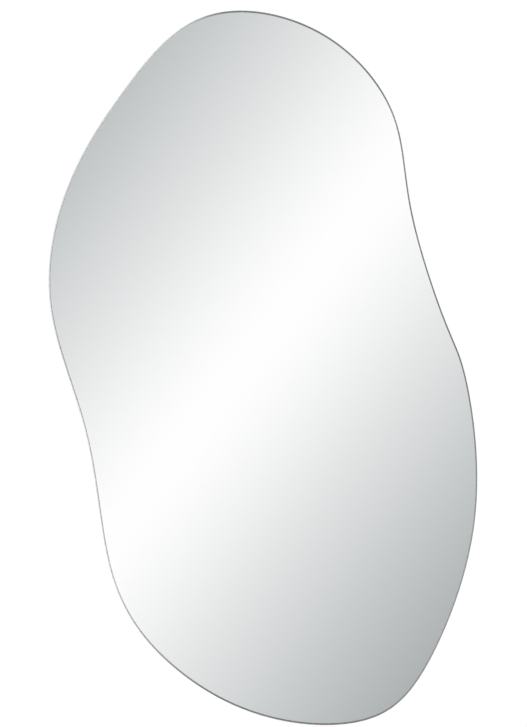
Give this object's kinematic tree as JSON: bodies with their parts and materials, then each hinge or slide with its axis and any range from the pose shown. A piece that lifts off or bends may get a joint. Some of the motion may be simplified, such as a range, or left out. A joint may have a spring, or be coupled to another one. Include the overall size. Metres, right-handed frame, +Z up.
{
  "type": "irregular shaped wall mirror",
  "caption": "Frameless free-form pebble-shaped wall mirror on a smaller backing board, with folding ring hangers for hanging it upright or on its side, and soft wall bumpers.",
  "frame": {"origin": "middle of the outline's box, on the wall plane", "axes": "+Z up as hung upright, +Y into the wall, +X to the right of someone who looks into the mirror"},
  "size_m": [0.5998, 0.0253, 1],
  "materials": {
    "clear_glass": "polished float glass",
    "silver_and_paint": "silvered in front, grey paint behind",
    "film": "woven-backed film",
    "foam": "closed-cell foam",
    "adhesive": "cured adhesive",
    "fibreboard": "raw MDF",
    "zinc_plate": "bright zinc plate",
    "soft_bumper": "translucent polyurethane"
  },
  "bodies": {
    "mirror": {"mirror_glass": "clear_glass", "mirror_coating": "silver_and_paint", "safety_film": "film", "foam_tape_strips": "foam", "adhesive_beads": "adhesive", "backing_board": "fibreboard", "hanger_strap_portrait_left": "zinc_plate", "hanger_screws_portrait_left": "zinc_plate", "hanger_strap_portrait_right": "zinc_plate", "hanger_screws_portrait_right": "zinc_plate", "hanger_strap_landscape_upper": "zinc_plate", "hanger_screws_landscape_upper": "zinc_plate", "hanger_strap_landscape_lower": "zinc_plate", "hanger_screws_landscape_lower": "zinc_plate", "wall_bumper_top_left": "soft_bumper", "wall_bumper_top_right": "soft_bumper", "wall_bumper_middle_left": "soft_bumper", "wall_bumper_middle_right": "soft_bumper", "wall_bumper_bottom_left": "soft_bumper", "wall_bumper_bottom_right": "soft_bumper"},
    "ring_portrait_left": {"d_ring_portrait_left": "zinc_plate"},
    "ring_portrait_right": {"d_ring_portrait_right": "zinc_plate"},
    "ring_landscape_upper": {"d_ring_landscape_upper": "zinc_plate"},
    "ring_landscape_lower": {"d_ring_landscape_lower": "zinc_plate"}
  },
  "joints": [
    {"name": "ring_portrait_left_hinge", "type": "hinge", "parent": "mirror", "child": "ring_portrait_left", "pos_m": [-0.11, -0.0044, 0.315], "axis": [1, 0, 0], "range_deg": [0, 176]},
    {"name": "ring_portrait_right_hinge", "type": "hinge", "parent": "mirror", "child": "ring_portrait_right", "pos_m": [0.11, -0.0044, 0.315], "axis": [1, 0, 0], "range_deg": [0, 176]},
    {"name": "ring_landscape_upper_hinge", "type": "hinge", "parent": "mirror", "child": "ring_landscape_upper", "pos_m": [-0.16, -0.0044, 0.115], "axis": [0, 0, 1], "range_deg": [0, 176]},
    {"name": "ring_landscape_lower_hinge", "type": "hinge", "parent": "mirror", "child": "ring_landscape_lower", "pos_m": [-0.16, -0.0044, -0.115], "axis": [0, 0, 1], "range_deg": [0, 176]}
  ]
}
